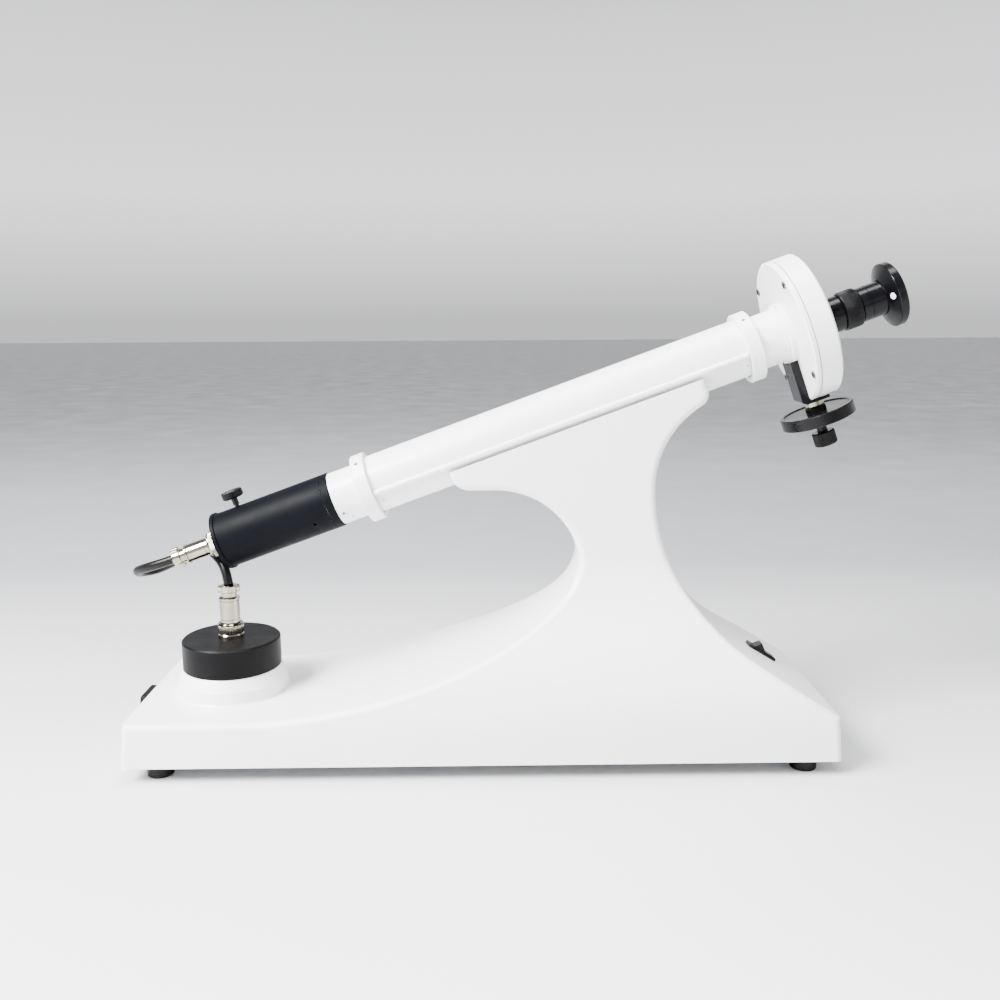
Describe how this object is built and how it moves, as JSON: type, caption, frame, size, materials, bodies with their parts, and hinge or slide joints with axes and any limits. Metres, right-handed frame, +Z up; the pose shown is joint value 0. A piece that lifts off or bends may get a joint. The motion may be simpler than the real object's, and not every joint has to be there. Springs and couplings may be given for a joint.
{
  "type": "disc polarimeter",
  "caption": "Disc polarimeter on a cast stand: slanted tube with a sample chamber, lamp housing with its lead, dial with a geared handwheel, and a focusing eyepiece.",
  "frame": {"origin": "on the table under the middle of the instrument's box, cable and plugs left out", "axes": "+Z up, +X from the lamp towards the eyepiece, +Y away from the operator's side where the rounded cover bead is"},
  "size_m": [0.5178, 0.135, 0.329],
  "materials": {
    "white_enamel": "satin",
    "white_alloy": "satin paint",
    "black_anodised": "satin",
    "black_plastic": "moulded",
    "black_gloss_plastic": "gloss",
    "black_rubber": "matte",
    "nickel_plate": "plated brass",
    "screw_steel": "bright",
    "sheet_steel": "zinc plated",
    "brass": "machined",
    "bare_alloy": "machined",
    "scale_silver": "satin with black graduations",
    "glass": "polished",
    "yellow_glass": "polished",
    "polaroid": "polished",
    "led_lens": "clear dome",
    "green_board": "solder mask",
    "white_paint_dot": "paint"
  },
  "bodies": {
    "stand": {"stand": "white_enamel", "base_plate": "sheet_steel", "base_screws": "screw_steel", "feet": "black_rubber", "mains_inlet": "black_plastic", "inlet_pins": "brass", "switch_body": "black_gloss_plastic", "lamp_supply": "green_board", "cap": "black_anodised", "cap_socket": "nickel_plate", "cap_plug": "nickel_plate", "plug_clamps": "nickel_plate", "clamp_screws": "screw_steel", "lamp_cable": "black_rubber", "lamp_housing": "black_anodised", "lamp_collar": "black_anodised", "lamp_socket": "nickel_plate", "lamp_plug": "nickel_plate", "lamp_holder": "bare_alloy", "lamp_led": "led_lens", "condenser_lens": "glass", "lamp_end_tube": "white_alloy", "optic_holders": "black_anodised", "colour_filter": "yellow_glass", "polariser": "polaroid", "half_shade": "glass", "chamber_windows": "glass", "sample_barrel": "white_alloy", "lamp_end_ring": "white_alloy", "dial_end_ring": "white_alloy", "ring_grub_screws": "black_anodised", "analyser_tube": "white_alloy", "dial_back": "white_alloy", "dial_screws": "screw_steel", "dial_housing": "white_alloy", "verniers": "scale_silver", "magnifier_mounts": "black_anodised", "magnifiers": "glass", "wheel_bracket": "black_anodised", "shaft_bushes": "nickel_plate", "eyepiece_mount": "black_anodised"},
    "cover": {"sample_cover": "white_alloy"},
    "dial": {"dial_rotor": "brass", "analyser": "polaroid", "scale_disc": "scale_silver", "dial_gear": "brass"},
    "handwheel": {"wheel_shaft": "screw_steel", "wheel_pinion": "brass", "handwheel": "black_anodised", "fine_knob": "black_anodised"},
    "focus": {"focus_ring": "black_anodised"},
    "eyepiece": {"eyepiece_tube": "black_anodised", "eyecup": "black_anodised", "eye_lenses": "glass", "index_dot": "white_paint_dot"},
    "rocker": {"switch_rocker": "black_gloss_plastic"},
    "thumb_screw": {"thumb_screw": "black_anodised"},
    "lamp_nut": {"lamp_plug_nut": "nickel_plate"},
    "cap_nut": {"cap_plug_nut": "nickel_plate"}
  },
  "joints": [
    {"name": "cover_turn", "type": "hinge", "parent": "stand", "child": "cover", "pos_m": [0.03029, 0, 0.22472], "axis": [-0.9397, 0, -0.342], "range_deg": [0, 110]},
    {"name": "dial_turn", "type": "hinge", "parent": "stand", "child": "dial", "pos_m": [0.18346, 0, 0.28047], "axis": [0.9397, 0, 0.342], "continuous": true},
    {"name": "handwheel_turn", "type": "hinge", "parent": "stand", "child": "handwheel", "pos_m": [0.19714, 0, 0.24288], "axis": [0.342, 0, -0.9397], "continuous": true},
    {"name": "focus_turn", "type": "hinge", "parent": "stand", "child": "focus", "pos_m": [0.22011, 0, 0.29381], "axis": [0.9397, 0, 0.342], "range_deg": [0, 300]},
    {"name": "eyepiece_slide", "type": "slide", "parent": "stand", "child": "eyepiece", "axis": [0.9397, 0, 0.342], "range_m": [0, 0.004]},
    {"name": "rocker_tilt", "type": "hinge", "parent": "stand", "child": "rocker", "pos_m": [0.16985, 0, 0.05729], "axis": [0, -1, 0], "range_deg": [0, 36]},
    {"name": "thumb_screw_turn", "type": "hinge", "parent": "stand", "child": "thumb_screw", "pos_m": [-0.1846, 0, 0.16779], "axis": [-0.342, 0, 0.9397], "range_deg": [0, 720]},
    {"name": "lamp_nut_turn", "type": "hinge", "parent": "stand", "child": "lamp_nut", "pos_m": [-0.19993, 0, 0.14092], "axis": [-0.9397, 0, -0.342], "continuous": true},
    {"name": "cap_nut_turn", "type": "hinge", "parent": "stand", "child": "cap_nut", "pos_m": [-0.19295, 0, 0.0825], "axis": [0, 0, 1], "continuous": true}
  ],
  "couplings": [
    {"joint": "handwheel_turn", "follows": "dial_turn", "ratio": -3},
    {"joint": "focus_turn", "follows": "eyepiece_slide", "rad_per_m": 1309}
  ]
}
